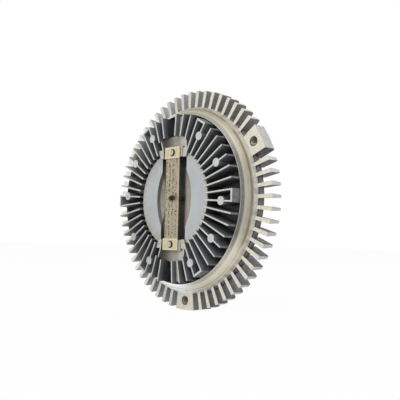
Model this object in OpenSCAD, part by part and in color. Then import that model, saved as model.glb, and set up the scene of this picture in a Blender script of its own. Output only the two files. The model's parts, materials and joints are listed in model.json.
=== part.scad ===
// Viscous fan clutch: finned housing that slips on a driven rotor, with a
// bimetal strip on its front cover that opens the fluid valve when it is warm.
// The clutch axis is horizontal along Y and the front cover faces -Y.
// The origin is the centre of the rear drive face. All lengths are in millimetres.

/* [Rim fins and fan bosses] */
// Diameter over the tips of the rim fins
rim_tip_d = 200; // [192:1:212]
// Outer diameter of the drum behind the lip
drum_d = 168; // [162:1:174]
// Length of the rim fins and bosses along the axis
rim_fin_l = 13.4; // [11:0.2:16]
// Number of rim fin places round the drum
rim_fin_count = 60; // [48:12:72]
// Rim fin thickness at the front of its tip
rim_fin_tip_t = 3.7; // [3:0.1:5]
// Angle by which each side of a rim fin closes in towards the drum
rim_fin_flare = 1.3; // [0.5:0.1:2.4]
// Angle by which each side of a rim fin closes in towards the rear
rim_fin_draft = 3.5; // [1:0.5:5]
// Radius on the rear outer corner of the rim fins
rim_fin_corner_r = 2.6; // [1:0.2:4]
// Number of bosses that carry the fan
boss_count = 3; // [3:1:4]
// Angle that one boss takes up on the rim
boss_span = 13.3; // [11:0.1:16]
// Diameter of the circle through the boss holes
boss_pcd = 183; // [179:0.5:187]
// Metal of a boss outside the centre of its hole
boss_edge = 8.5; // [7:0.1:10]
// Thread diameter of the boss holes
boss_hole_d = 8; // [6:0.5:10]
// Height of the ledge between the rim fins
rim_ledge_h = 2.2; // [1:0.1:4]
// How far the ledge stays behind the machined fin fronts
rim_ledge_setback = 2; // [1:0.2:4]
// Length of the ledge along the axis
rim_ledge_l = 4.6; // [3:0.2:6]

/* [Drum and lip] */
// Wall of the drum round the working chamber
drum_wall = 6; // [5:0.2:8]
// Wall of the drum outside the cover
lip_wall = 2.4; // [2:0.1:2.8]
// How far the conical lip reaches in over the cover
lip_reach = 7.5; // [6:0.1:9]
// Height of the lip's inner edge over the machined fin fronts
lip_h = 11.5; // [10:0.1:13]
// Thickness of the lip at its inner edge
lip_t = 1.9; // [1.4:0.1:2.4]
// Width of the flatter ring at the lip's inner edge
crest_w = 2.4; // [2:0.1:3]
// Drop of that ring from the inner edge to the crest line
crest_drop = 2.5; // [1.8:0.1:2.8]
// Depth of the shallow groove in the lip's cone
groove_depth = 0.35; // [0.2:0.05:0.6]
// Radius of that groove
groove_r = 1.6; // [1:0.1:2.4]
// How far the foot of the lip's cone stands out over the drum
lip_foot = 1.1; // [0.7:0.1:1.6]
// How far that foot lies behind the machined fin fronts
foot_drop = 0.5; // [0.3:0.1:1]

/* [Rear of the body] */
// Rear wall of the working chamber
rear_wall = 4.2; // [3:0.2:6]
// Outer diameter of the bearing hub
hub_d = 62; // [58:1:68]
// Number of rear ribs
rear_rib_count = 24; // [12:6:36]
// Thickness of a rear rib
rear_rib_t = 3; // [2:0.2:4]
// Height of the rear ribs at the hub
rear_rib_h = 12; // [8:0.5:14]

/* [Front cover] */
// Cover wall between the channels and the divider plate
cover_wall = 3.7; // [3.2:0.1:5]
// Height of the cover fins over the channel floor
cover_fin_h = 17; // [15:0.2:20]
// Thickness of a cover fin at its front
cover_fin_t = 1.3; // [1:0.1:1.8]
// Thickness of a cover fin at the channel floor
cover_fin_root_t = 2.2; // [1.8:0.1:2.8]
// Number of cover fin places
cover_fin_count = 48; // [48:24:72]
// Height of the cover's straight side under the lip
cover_side_h = 2.2; // [1.6:0.1:2.6]
// Gap between the fin ends and the lip
fin_lip_gap = 0.8; // [0.5:0.1:3]
// Diameter of the smooth central disc
disc_d = 87; // [84:0.5:92]
// How far the disc lies behind the fin fronts
disc_setback = 4; // [3:0.2:5]
// How far outside the disc the fin fronts start
fin_step = 0.6; // [0.4:0.1:4]
// Diameter of the circle of round pads
pad_circle_d = 125.8; // [120:0.2:130]
// Diameter of a round pad
pad_d = 7.3; // [6:0.1:9]
// Wall that closes the outer end of a closed cell
cell_wall = 1.7; // [1.2:0.1:2.4]
// Wall of the cover round the recess and the reservoir
recess_wall = 2.8; // [2:0.1:3.4]

/* [Recess for the strip] */
// Width of the dished recess
dish_w = 46; // [42:0.2:50]
// Depth of the dished recess below the disc
dish_depth = 9; // [7:0.2:9.4]
// Radius of the dish along the strip
dish_arc_r = 77; // [70:1:84]
// Width of the straight slot under the strip
slot_w = 32.6; // [29:0.2:35]
// Depth of that slot below the disc
slot_depth = 8; // [6:0.2:9]
// Length of a bridge along the strip
bridge_l = 9.5; // [9:0.1:11]
// Height of the saddle under the strip's end over the disc
saddle_h = 1.3; // [0.8:0.1:2]
// Length of the flat shelf past the bridge
shelf_l = 10; // [8:0.5:12]
// How far the shelf lies below the disc
shelf_drop = 1.2; // [0.8:0.1:3]
// Width of the shelf past each side of the slot
shelf_margin = 2; // [1.6:0.1:2.6]

/* [Strip, clips and pin] */
// Distance between the two pegs
peg_spacing = 82; // [80:0.5:84]
// Diameter of a peg
peg_d = 5; // [4:0.1:6]
// How far a peg stands out of its clip
peg_proud = 0.8; // [0.5:0.1:1.5]
// Width of the bimetal strip
strip_w = 17.4; // [15:0.2:20]
// Thickness of the bimetal strip
strip_t = 0.9; // [0.8:0.1:1.4]
// Diameter of the strip's centre hole
strip_hole_d = 4; // [3.6:0.1:5]
// Length of the strip past a peg
strip_end = 4.4; // [4:0.1:5]
// Width of a clip across the strip
clip_w = 19.4; // [18:0.2:22]
// Length of a clip along the strip
clip_l = 10.2; // [9.4:0.1:12]
// Thickness of a clip
clip_t = 1; // [0.8:0.1:1.8]
// Diameter of the holes round a peg, in the clip and in the strip
clip_hole_d = 6.6; // [6.2:0.1:7.6]
// Diameter of the control pin
pin_d = 4; // [3.4:0.1:5]
// Travel of the control pin
pin_travel = 1.2; // [0.8:0.1:1.4]

/* [Valve and divider plate] */
// Thickness of the divider plate
divider_t = 1.2; // [0.8:0.1:1.8]
// Number of rivets in the divider plate
rivet_count = 6; // [4:1:8]
// Diameter of the circle through those rivets
rivet_circle_d = 108; // [100:1:114]
// Shank diameter of a rivet
rivet_d = 3; // [2:0.1:3.6]
// Distance of the valve rivet and of the port from the axis
valve_reach = 28; // [24:0.5:31]
// Diameter of the port in the divider plate
port_d = 6; // [4:0.2:8]
// Width of the valve arm
valve_arm_w = 9; // [8:0.2:12]
// Thickness of the valve arm
valve_arm_t = 0.6; // [0.4:0.1:0.9]
// Angle that the pump wiper takes up
wiper_span = 20; // [12:1:30]

/* [Rotor] */
// Axial gap between the rotor and the divider plate
rotor_front_gap = 1.6; // [1.4:0.1:2.4]
// Thickness of the rotor web
rotor_web_t = 3; // [2.4:0.1:4]
// Height of the ring lands on the rotor and on the body
land_h = 4.5; // [3.5:0.1:5]
// Axial gap past the end of a land
land_end_gap = 1.8; // [1.4:0.1:2.4]
// Width of one ring land
land_w = 2.4; // [1.6:0.1:2.6]
// Distance between neighbouring rotor lands
land_pitch = 6; // [5.8:0.1:8]
// Gap between the rotor rim and the drum
rotor_tip_gap = 2.6; // [1.5:0.1:4]
// Outer diameter of the rotor hub
rotor_hub_d = 28; // [26.8:0.2:32]

/* [Bearing and shaft] */
// Bore of the bearing
bearing_bore = 20; // [18:0.5:21]
// Outer diameter of the bearing
bearing_od = 47; // [46:0.5:50]
// Width of the bearing
bearing_w = 14; // [12:0.5:16]
// Number of balls
ball_count = 8; // [6:1:8]
// Diameter of a ball
ball_d = 7.9; // [7:0.1:8.2]
// Shoulder of the body in front of the bearing
shoulder_t = 4; // [3:0.2:6]
// Thickness of the retaining rings
snap_ring_t = 1.2; // [1:0.1:1.6]
// Metal of the hub behind the bearing's retaining ring
hub_lip = 1; // [0.8:0.1:2]
// Diameter of the rear drive flange
flange_d = 36; // [32:0.5:42]
// Thickness of that flange
flange_t = 7; // [5:0.5:10]
// Width across the flats of the flange
flange_flats = 32; // [28:0.5:34]
// Gap between the flange and the hub
flange_gap = 2; // [1:0.2:4]
// Shaft diameter under the rotor
rotor_seat_d = 18; // [16:0.2:18.4]
// Thread diameter of the rear hole
drive_hole_d = 10; // [8:0.5:11]
// Depth of the rear hole
drive_hole_l = 20; // [14:0.5:24]

/* [Hidden] */

$fn = 96;
// Overlap of a cutter past the face that it opens
cut = 1;
// Depth to which joined shapes sink into each other
sink = 0.5;
// Radial clearance of a running fit
run_clear = 0.06;
// Radial clearance of a close fit between fixed pieces
seat_clear = 0.03;
// Gap that keeps a moving face off its neighbour
move_gap = 0.3;
// Gap round a seal ring in its groove
seal_gap = 0.2;

// Levels along the axis, from the rear drive face at 0 to the fin fronts
hub_z = flange_t + flange_gap;
ring_z = hub_z + hub_lip;
bearing_z = ring_z + snap_ring_t;
bearing_front_z = bearing_z + bearing_w;
chamber_z = bearing_front_z + shoulder_t;
rotor_land_z = chamber_z + land_end_gap;
rotor_web_z = chamber_z + land_h + land_end_gap;
rotor_front_z = rotor_web_z + rotor_web_t;
divider_z = rotor_front_z + rotor_front_gap;
seat_z = divider_z + divider_t;
channel_z = seat_z + cover_wall;
front_z = channel_z + cover_fin_h;
disc_z = front_z - disc_setback;
rim_rear_z = seat_z - rim_fin_l;
wall_rear_z = chamber_z - rear_wall;
cover_side_z = seat_z + cover_side_h;
lip_z = seat_z + lip_h;
lip_under_z = lip_z - lip_t;
crest_z = lip_z - crest_drop;
foot_z = seat_z - foot_drop;
shelf_z = disc_z - shelf_drop;
strip_z = disc_z + saddle_h;
clip_z = strip_z + strip_t;
clip_front_z = clip_z + clip_t;

// Radii of the drum, the lip and the cover
drum_r = drum_d / 2;
rim_tip_r = rim_tip_d / 2;
chamber_r = drum_r - drum_wall;
cover_r = drum_r - lip_wall;
lip_inner_r = drum_r - lip_reach;
crest_r = lip_inner_r + crest_w;
foot_r = drum_r + lip_foot;
ledge_r = drum_r + rim_ledge_h;
disc_r = disc_d / 2;
fin_inner_r = disc_r + fin_step;
fin_outer_r = lip_inner_r - fin_lip_gap;
rim_channel_r = lip_inner_r + sink;
boss_circle_r = boss_pcd / 2;
boss_tip_r = boss_circle_r + boss_edge;
pad_circle_r = pad_circle_d / 2;
hub_r = hub_d / 2;
// Cone of the lip from its crest line to its foot, and the place of the groove on it
cone_run = [foot_r - crest_r, foot_z - crest_z];
cone_normal = [-cone_run[1], cone_run[0]] / norm(cone_run);
groove_share = 0.55;
groove_lift = groove_r - groove_depth;
groove_centre = [crest_r, crest_z] + groove_share * cone_run + groove_lift * cone_normal;
// Width of the chamfer on the rear edge of the drum
drum_chamfer = 6.5;
// Countersink at the mouth of a threaded hole
thread_chamfer = 0.3;
drum_rear_z = wall_rear_z + drum_chamfer + sink;

// Places of the fins, pads and bosses, counter-clockwise from +X as seen from the front
rim_step = 360 / rim_fin_count;
boss_first = 30;
boss_step = 360 / boss_count;
cover_step = 360 / cover_fin_count;
top_angle = 90;
cell_step = 60;
pad_angles = [for (a = [60, 30, 0, -30, -60]) a - cover_step / 2];
left_pad_angles = [180 - cover_step / 2, 150 - cover_step / 2, 120 - cover_step / 2,
                   210 + cover_step / 2, 240 + cover_step / 2];
marked_pad_angle = 180 - cover_step / 2;
// Fins on each side of the strip that start at a shelf's end, then at its corner
end_fins = 2;
side_fins = 1;
// Small centre mark on one pad
mark_d = 1.8;
mark_depth = 0.4;

// Recess, bridges and shelves
peg_r = peg_spacing / 2;
// How far the middle of a bridge lies outside its peg
bridge_shift = 0.75;
slot_end = peg_r - bridge_l / 2 + bridge_shift;
bridge_end = slot_end + bridge_l;
shelf_end_r = bridge_end + shelf_l;
shelf_half_w = slot_w / 2 + shelf_margin;
// Width of the saddle past each side of the clip
saddle_margin = 1.8;
saddle_w = clip_w + 2 * saddle_margin;
dish_half_w = dish_w / 2;
dish_roll_r = (dish_half_w * dish_half_w + dish_depth * dish_depth) / (2 * dish_depth);
dish_axis_z = disc_z + dish_roll_r - dish_depth;
reservoir_r = disc_r - recess_wall;
reservoir_top_z = disc_z - recess_wall;
// Raised floor between the two fins right of each shelf, and its height over the shelf
shallow_rise = 0.4;
shallow_z = shelf_z + shallow_rise;

// Control pin, its guide and seal
pin_r = pin_d / 2;
// Collar under the strip
pin_collar_margin = 1.2;
pin_collar_r = strip_hole_d / 2 + pin_collar_margin;
pin_collar_t = 1;
// Tip in the strip's centre hole
pin_tip_clear = 0.4;
pin_tip_r = strip_hole_d / 2 - pin_tip_clear;
pin_tip_recess = 0.3;
// Taper of the pin's rear end, and its gap to the valve arm
pin_nose_l = 1.2;
pin_nose_r = 0.6;
pin_arm_gap = 0.1;
// Wall of the guide round the pin, its height in the dish and its depth under the dish's wall
guide_wall = 3.2;
guide_r = pin_r + guide_wall;
guide_rise = 0.6;
guide_drop = 0.8;
guide_top_z = disc_z - dish_depth + guide_rise;
guide_low_z = disc_z - dish_depth - recess_wall - guide_drop;
pin_seal_section = 1.6;
pin_seal_z = (guide_top_z + guide_low_z) / 2;
pin_seal_gland_l = pin_seal_section + 2 * seal_gap;
pin_seal_gland_r = pin_r + run_clear + pin_seal_section + seal_gap;

// Valve arm and its rivet, with room for the arm's tilt over the pin's travel
valve_rivet_r = 1.5;
valve_rivet_head_r = 2.8;
valve_rivet_head_t = 0.8;
valve_tail_margin = 1;
valve_tail = valve_rivet_head_r + valve_tail_margin;
valve_slope = pin_travel / valve_reach;
arm_z = seat_z + move_gap + valve_slope * valve_tail;
arm_top_z = arm_z + valve_arm_t;
valve_head_z = arm_top_z + move_gap + valve_slope * valve_rivet_head_r;
valve_pad_margin = 1;
valve_pad_r = port_d / 2 + valve_pad_margin;

// Seal ring between cover and body
seal_section = 2;
seal_r = (chamber_r + cover_r) / 2;
seal_gland = seal_section + 2 * seal_gap;

// Divider plate and its rivets
divider_gap = 2;
divider_r = chamber_r - divider_gap;
rivet_head_t = 0.8;
rivet_head_margin = 1;
rivet_head_r = rivet_d / 2 + rivet_head_margin;
rivet_floor = 1;
rivet_depth = cover_wall - rivet_floor;
rivet_first = 15;

// Wiper and return passage
wiper_inset = 1;
wiper_l = 9;
wiper_outer_r = divider_r - wiper_inset;
wiper_inner_r = wiper_outer_r - wiper_l;
wiper_z = rotor_front_z + move_gap;
wiper_angle = 180;
return_angle = wiper_angle + wiper_span;
return_w = 5;
return_depth = 1.8;
return_inset = 5;
return_r = wiper_outer_r - return_inset;

// Rotor and its lands
rotor_r = chamber_r - rotor_tip_gap;
rotor_rim_w = 3;
land_last_r = rotor_r - rotor_rim_w - land_pitch / 2 - land_w;
// Smallest distance of the lands from the bearing hub
land_clear = 14;
land_first_r = hub_r + land_clear;
rotor_land_radii = [for (r = [land_last_r : -land_pitch : land_first_r]) r];
rotor_hub_r = rotor_hub_d / 2;
// Depth of the rotor hub behind the rotor's front
rotor_hub_drop = 2;
rotor_hub_front_z = rotor_front_z - rotor_hub_drop;
rotor_port_count = 6;
rotor_port_d = 8;
rotor_port_r = (rotor_hub_r + land_first_r) / 2;

// Shaft, bearing and retaining rings
shaft_r = bearing_bore / 2;
rotor_seat_r = rotor_seat_d / 2;
shaft_end_gap = 1.1;
shaft_end_z = divider_z - shaft_end_gap;
shaft_ring_z = rotor_hub_front_z;
// Depth of a ring's groove, its reach out of the groove and the width of its gap
snap_depth = 1;
snap_reach = 2;
snap_gap_w = 5;
bearing_r = bearing_od / 2;
pitch_r = (bearing_r + shaft_r) / 2;
// Share of the bearing's section in each race
race_share = 0.25;
race_t = (bearing_r - shaft_r) * race_share;
inner_race_r = shaft_r + race_t;
outer_race_r = bearing_r - race_t;
ball_r = ball_d / 2;
ball_z = (bearing_z + bearing_front_z) / 2;
// Clearance of a ball in its races
ball_clear = 0.08;
race_groove_r = ball_r + ball_clear;
// Half width of the cage, its length on each side of the balls and their clearance in it
cage_half_w = 1.3;
cage_margin = 1;
cage_clear = 0.2;
cage_l = ball_r + cage_margin;
cage_pocket_r = ball_r + cage_clear;
shield_t = 0.5;
shield_inset = 0.4;
shield_clear = 0.3;
shoulder_reach = 4;
shoulder_bore_r = bearing_r - shoulder_reach;

CAST = [0.70, 0.70, 0.67];
STEEL = [0.62, 0.63, 0.65];
DARK_STEEL = [0.42, 0.43, 0.45];
BIMETAL = [0.72, 0.66, 0.54];
GOLD = [0.85, 0.72, 0.42];
RUBBER = [0.08, 0.08, 0.08];

// Turns the clutch axis from local Z to the front direction -Y
module along_axis() {
    rotate([90, 0, 0]) children();
}

// Ring with a square section
module ring(outer_r, inner_r, z0, z1) {
    translate([0, 0, z0])
        difference() {
            cylinder(r = outer_r, h = z1 - z0);
            translate([0, 0, -cut]) cylinder(r = inner_r, h = z1 - z0 + 2 * cut);
        }
}

// Round bar between two levels
module bar(r, z0, z1) {
    translate([0, 0, z0]) cylinder(r = r, h = z1 - z0);
}

// Block centred on the axis between two levels
module slab(w, l, z0, z1) {
    translate([-w / 2, -l / 2, z0]) cube([w, l, z1 - z0]);
}

// Corner piece that turns a square outer corner into a round one of radius r
module corner_cut(r) {
    difference() {
        square(r + cut);
        circle(r = r);
    }
}

// Ring of round section
module torus(r, section) {
    rotate_extrude() translate([r, 0]) circle(d = section);
}

// Threaded hole with its countersink, opening at z1
module threaded_hole(d, z0, z1) {
    bar(d / 2, z0, z1 + cut);
    translate([0, 0, z1 - thread_chamfer])
        cylinder(r1 = d / 2, r2 = d / 2 + thread_chamfer + cut, h = thread_chamfer + cut);
}

// Angle between two directions, from 0 to 180
function turn(a, b) = abs(((a - b) % 360 + 540) % 360 - 180);

// True where a rim fin place lies on a boss
function on_boss(a) =
    min([for (k = [0 : boss_count - 1]) turn(a, boss_first + k * boss_step)])
        < boss_span / 2 + rim_step / 2;

// Outline of one fan boss with radial sides
module boss_outline() {
    root = drum_r - lip_wall / 2;
    tip = boss_tip_r / cos(boss_span / 2) + cut;
    half = boss_span / 2;
    polygon([[root * cos(half), -root * sin(half)], [tip * cos(half), -tip * sin(half)],
             [tip * cos(half), tip * sin(half)], [root * cos(half), root * sin(half)]]);
}

// Turned envelope of the rim, round at the rear outer corner
module rim_envelope(tip_r) {
    rotate_extrude()
        difference() {
            translate([0, rim_rear_z]) square([tip_r, rim_fin_l]);
            translate([tip_r - rim_fin_corner_r, rim_rear_z + rim_fin_corner_r])
                mirror([0, 1]) corner_cut(rim_fin_corner_r);
        }
}

// Cutter that leaves one sloping side on a rim fin
module rim_fin_side() {
    reach = rim_tip_r - cover_r + rim_fin_l;
    translate([rim_tip_r, rim_fin_tip_t / 2, seat_z])
        rotate([-rim_fin_draft, 0, rim_fin_flare])
            translate([-reach, 0, -reach]) cube([2 * reach, reach, 2 * reach]);
}

// One rim fin, thinner towards the drum and the rear
module rim_fin() {
    root = drum_r - lip_wall / 2;
    blank_t = rim_fin_tip_t + 2 * cut;
    difference() {
        intersection() {
            rotate(180) rim_envelope(rim_tip_r);
            translate([root, -blank_t / 2, rim_rear_z - cut])
                cube([rim_tip_r + cut - root, blank_t, rim_fin_l + 2 * cut]);
        }
        for (side = [0, 1]) mirror([0, side, 0]) rim_fin_side();
    }
}

// Rim fins, fan bosses and the ledge between them
module rim() {
    for (k = [0 : rim_fin_count - 1])
        if (!on_boss(k * rim_step))
            rotate(k * rim_step) rim_fin();
    intersection() {
        rim_envelope(boss_tip_r);
        translate([0, 0, rim_rear_z])
            linear_extrude(rim_fin_l)
                for (k = [0 : boss_count - 1])
                    rotate(boss_first + k * boss_step) boss_outline();
    }
    ledge_z = seat_z - rim_ledge_setback;
    ring(ledge_r, drum_r - sink, ledge_z - rim_ledge_l, ledge_z);
}

// Section of the drum, lip and hub, revolved about the axis
module drum_section() {
    difference() {
        polygon([
            [lip_inner_r, lip_under_z],
            [lip_inner_r, lip_z],
            [crest_r, crest_z],
            [foot_r, foot_z],
            [drum_r, foot_z],
            [drum_r, drum_rear_z],
            [drum_r - drum_chamfer, drum_rear_z - drum_chamfer],
            [drum_r - 2 * drum_chamfer, wall_rear_z],
            [hub_r, wall_rear_z],
            [hub_r, hub_z],
            [bearing_r, hub_z],
            [bearing_r, ring_z],
            [bearing_r + snap_depth, ring_z],
            [bearing_r + snap_depth, bearing_z],
            [bearing_r, bearing_z],
            [bearing_r, bearing_front_z],
            [shoulder_bore_r, bearing_front_z],
            [shoulder_bore_r, chamber_z],
            [chamber_r, chamber_z],
            [chamber_r, seat_z],
            [cover_r, seat_z],
            [cover_r, cover_side_z]
        ]);
        translate(groove_centre) circle(r = groove_r);
        translate([seal_r - seal_gland / 2, seat_z - seal_gland])
            square([seal_gland, seal_gland + cut]);
    }
}

// Tapered rib on the rear wall
module rear_rib() {
    root_r = hub_r - sink;
    end_r = drum_r - 2 * drum_chamfer;
    rotate([90, 0, 0])
        translate([0, 0, -rear_rib_t / 2])
            linear_extrude(rear_rib_t)
                polygon([[root_r, wall_rear_z + sink], [end_r, wall_rear_z + sink],
                         [end_r, wall_rear_z], [root_r, wall_rear_z - rear_rib_h]]);
}

module body_housing() {
    color(CAST) along_axis()
        difference() {
            union() {
                rotate_extrude() drum_section();
                rim();
                for (r = rotor_land_radii)
                    ring(r + (land_pitch + land_w) / 2, r + (land_pitch - land_w) / 2,
                         chamber_z - sink, chamber_z + land_h);
                for (k = [0 : rear_rib_count - 1])
                    rotate(k * 360 / rear_rib_count) rear_rib();
            }
            for (k = [0 : boss_count - 1])
                rotate(boss_first + k * boss_step)
                    translate([boss_circle_r, 0, 0])
                        threaded_hole(boss_hole_d, rim_rear_z - cut, seat_z);
        }
}

// Angle of a cover fin from the nearer end of the strip
function from_slot(a) = min(turn(a, top_angle), turn(a, -top_angle));

// Number of a fin's place, counted from the nearer end of the strip
function fin_place(a) = floor(from_slot(a) / cover_step);

// True for the fin place that is left empty beside each shelf
function is_empty_place(a) = fin_place(a) == 0 && cos(a) < 0;

// Inner end of a cover fin: the disc, or the shelf near the strip's ends
function fin_start_r(a) = fin_place(a) < end_fins ? shelf_end_r - sink
                        : fin_place(a) < end_fins + side_fins ? shelf_end_r - shelf_margin
                        : disc_r - sink;

// One straight cover fin with draft on its sides, from radius r0 to the fin ends
module cover_fin(r0) {
    low_z = channel_z - sink;
    translate([r0, 0, 0])
        rotate([90, 0, 90])
            linear_extrude(fin_outer_r - r0)
                polygon([[-cover_fin_root_t / 2, low_z], [cover_fin_root_t / 2, low_z],
                         [cover_fin_t / 2, front_z], [-cover_fin_t / 2, front_z]]);
}

// All radial fins of the cover
module cover_fins() {
    for (k = [0 : cover_fin_count - 1]) {
        a = (k + 0.5) * cover_step;
        if (!is_empty_place(a)) rotate(a) cover_fin(fin_start_r(a));
    }
}

// End wall that closes the cell between two neighbouring fins
module cell_end() {
    half = fin_outer_r * sin(cover_step / 2);
    translate([fin_outer_r * cos(cover_step / 2) - cell_wall, -half, channel_z - sink])
        cube([cell_wall, 2 * half, cover_fin_h + sink]);
}

// Raised floor between the two fins beside a shelf
module shallow_channel() {
    a0 = top_angle - 1.5 * cover_step;
    a1 = top_angle - 0.5 * cover_step;
    r0 = shelf_end_r - sink / 2;
    r1 = fin_outer_r - cell_wall;
    translate([0, 0, channel_z - sink])
        linear_extrude(shallow_z - channel_z + sink)
            polygon([[r0 * cos(a0), r0 * sin(a0)], [r1 * cos(a0), r1 * sin(a0)],
                     [r1 * cos(a1), r1 * sin(a1)], [r0 * cos(a1), r0 * sin(a1)]]);
}

// Flat shelf past a bridge
module shelf() {
    intersection() {
        translate([-shelf_half_w, slot_end, channel_z - sink])
            cube([2 * shelf_half_w, shelf_end_r, shelf_z - channel_z + sink]);
        bar(shelf_end_r, channel_z - sink, shelf_z);
    }
}

// Long dish, grown by a wall where its outside is wanted
module dish(grow) {
    translate([0, 0, dish_axis_z])
        rotate([90, 0, 0])
            rotate_extrude()
                intersection() {
                    translate([dish_roll_r - dish_arc_r, 0]) circle(r = dish_arc_r + grow);
                    translate([0, -slot_end - grow])
                        square([dish_roll_r + grow, 2 * (slot_end + grow)]);
                }
}

// Bridge with its saddle and peg, at the upper end of the strip
module bridge() {
    translate([0, (slot_end + bridge_end) / 2, 0])
        slab(saddle_w, bridge_l, shelf_z - sink, strip_z);
    translate([0, peg_r, 0]) bar(peg_d / 2, strip_z - sink, clip_front_z + peg_proud);
}

// Fluid store behind the disc, kept clear of the recess
module reservoir() {
    difference() {
        bar(reservoir_r, seat_z - cut, reservoir_top_z);
        dish(recess_wall);
        slab(slot_w + 2 * recess_wall, 2 * reservoir_r + cut,
             disc_z - slot_depth - recess_wall, disc_z);
        bar(guide_r, guide_low_z, disc_z);
    }
}

// Section of the cover's floor and of its conical rim under the lip
module cover_section() {
    rim_share = (cover_r - rim_channel_r) / (cover_r - lip_inner_r);
    rim_z = cover_side_z + rim_share * (lip_under_z - cover_side_z);
    polygon([
        [disc_r - sink, seat_z],
        [cover_r - seat_clear, seat_z],
        [cover_r - seat_clear, cover_side_z],
        [rim_channel_r - seat_clear, rim_z],
        [rim_channel_r - seat_clear, channel_z],
        [disc_r - sink, channel_z]
    ]);
}

module cover_blank() {
    bar(disc_r, seat_z, disc_z);
    rotate_extrude() cover_section();
    cover_fins();
    for (k = [0 : 360 / cell_step - 1]) rotate(k * cell_step) cell_end();
    for (a = concat(pad_angles, left_pad_angles))
        rotate(a) translate([pad_circle_r, 0, 0]) bar(pad_d / 2, channel_z - sink, front_z);
    for (side = [0, 1])
        mirror([0, side, 0]) {
            shelf();
            shallow_channel();
        }
}

module front_cover() {
    color(CAST) along_axis()
        difference() {
            union() {
                difference() {
                    cover_blank();
                    dish(0);
                    slab(slot_w, 2 * slot_end, disc_z - slot_depth, front_z);
                    bar(fin_inner_r, disc_z, front_z + cut);
                    reservoir();
                }
                for (side = [0, 1]) mirror([0, side, 0]) bridge();
                bar(guide_r, guide_low_z, guide_top_z);
            }
            bar(pin_r + run_clear, seat_z, front_z);
            bar(pin_seal_gland_r, pin_seal_z - pin_seal_gland_l / 2, pin_seal_z + pin_seal_gland_l / 2);
            rotate(marked_pad_angle)
                translate([pad_circle_r, 0, 0])
                    bar(mark_d / 2, front_z - mark_depth, front_z + cut);
            for (k = [0 : rivet_count - 1])
                rotate(rivet_first + k * 360 / rivet_count)
                    translate([rivet_circle_d / 2, 0, 0])
                        bar(rivet_d / 2 + seat_clear, seat_z - cut, seat_z + rivet_depth);
            rotate(return_angle)
                translate([reservoir_r - cut, -return_w / 2, seat_z - cut])
                    cube([return_r - reservoir_r + cut, return_w, return_depth + cut]);
        }
}

module cover_seal_ring() {
    color(RUBBER) along_axis()
        translate([0, 0, seat_z - seal_gland / 2]) torus(seal_r, seal_section);
}

module bimetal_strip() {
    color(BIMETAL) along_axis()
        difference() {
            slab(strip_w, peg_spacing + 2 * strip_end, strip_z, clip_z);
            bar(strip_hole_d / 2, strip_z - cut, clip_z + cut);
            for (side = [-1, 1])
                translate([0, side * peg_r, 0])
                    bar(clip_hole_d / 2, strip_z - cut, clip_z + cut);
        }
}

// Clip plate over the strip's end, at side +1 or -1
module strip_clip(side) {
    color(GOLD) along_axis()
        translate([0, side * peg_r, 0])
            difference() {
                slab(clip_w, clip_l, clip_z, clip_front_z);
                bar(clip_hole_d / 2, clip_z - cut, clip_front_z + cut);
            }
}

module upper_strip_clip() {
    strip_clip(1);
}

module lower_strip_clip() {
    strip_clip(-1);
}

module control_pin() {
    nose_z = arm_top_z + pin_arm_gap;
    tip_z = clip_z - pin_tip_recess;
    color(STEEL) along_axis()
        rotate_extrude()
            polygon([
                [0, nose_z],
                [pin_nose_r, nose_z],
                [pin_r, nose_z + pin_nose_l],
                [pin_r, strip_z - pin_collar_t],
                [pin_collar_r, strip_z - pin_collar_t],
                [pin_collar_r, strip_z],
                [pin_tip_r, strip_z],
                [pin_tip_r, tip_z],
                [0, tip_z]
            ]);
}

module control_pin_seal() {
    color(RUBBER) along_axis()
        translate([0, 0, pin_seal_z])
            torus(pin_r + run_clear + pin_seal_section / 2, pin_seal_section);
}

module valve_arm() {
    color(DARK_STEEL) along_axis()
        difference() {
            union() {
                translate([-valve_reach - valve_tail, -valve_arm_w / 2, arm_z])
                    cube([2 * valve_reach + valve_tail, valve_arm_w, valve_arm_t]);
                translate([valve_reach, 0, 0]) bar(valve_pad_r, seat_z, arm_top_z);
            }
            translate([-valve_reach, 0, 0])
                bar(valve_rivet_r + run_clear, arm_z - cut, arm_top_z + cut);
        }
}

module valve_arm_rivet() {
    color(STEEL) along_axis()
        translate([-valve_reach, 0, 0]) {
            bar(valve_rivet_r, divider_z, valve_head_z + sink);
            bar(valve_rivet_head_r, valve_head_z, valve_head_z + valve_rivet_head_t);
        }
}

module divider_plate() {
    color(STEEL) along_axis()
        difference() {
            bar(divider_r, divider_z, seat_z);
            translate([valve_reach, 0, 0]) bar(port_d / 2, divider_z - cut, seat_z + cut);
            translate([-valve_reach, 0, 0])
                bar(valve_rivet_r + seat_clear, divider_z - cut, seat_z + cut);
            for (k = [0 : rivet_count - 1])
                rotate(rivet_first + k * 360 / rivet_count)
                    translate([rivet_circle_d / 2, 0, 0])
                        bar(rivet_d / 2 + seat_clear, divider_z - cut, seat_z + cut);
            rotate(return_angle)
                translate([return_r - return_w / 2, 0, 0])
                    bar(return_w / 2, divider_z - cut, seat_z + cut);
        }
}

module divider_rivets() {
    color(STEEL) along_axis()
        for (k = [0 : rivet_count - 1])
            rotate(rivet_first + k * 360 / rivet_count)
                translate([rivet_circle_d / 2, 0, 0]) {
                    bar(rivet_d / 2, divider_z - sink, seat_z + rivet_depth);
                    bar(rivet_head_r, divider_z - rivet_head_t, divider_z);
                }
}

module pump_wiper() {
    color(DARK_STEEL) along_axis()
        translate([0, 0, wiper_z])
            rotate(wiper_angle - wiper_span / 2)
                rotate_extrude(angle = wiper_span)
                    translate([wiper_inner_r, 0])
                        square([wiper_outer_r - wiper_inner_r, divider_z - wiper_z]);
}

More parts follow.
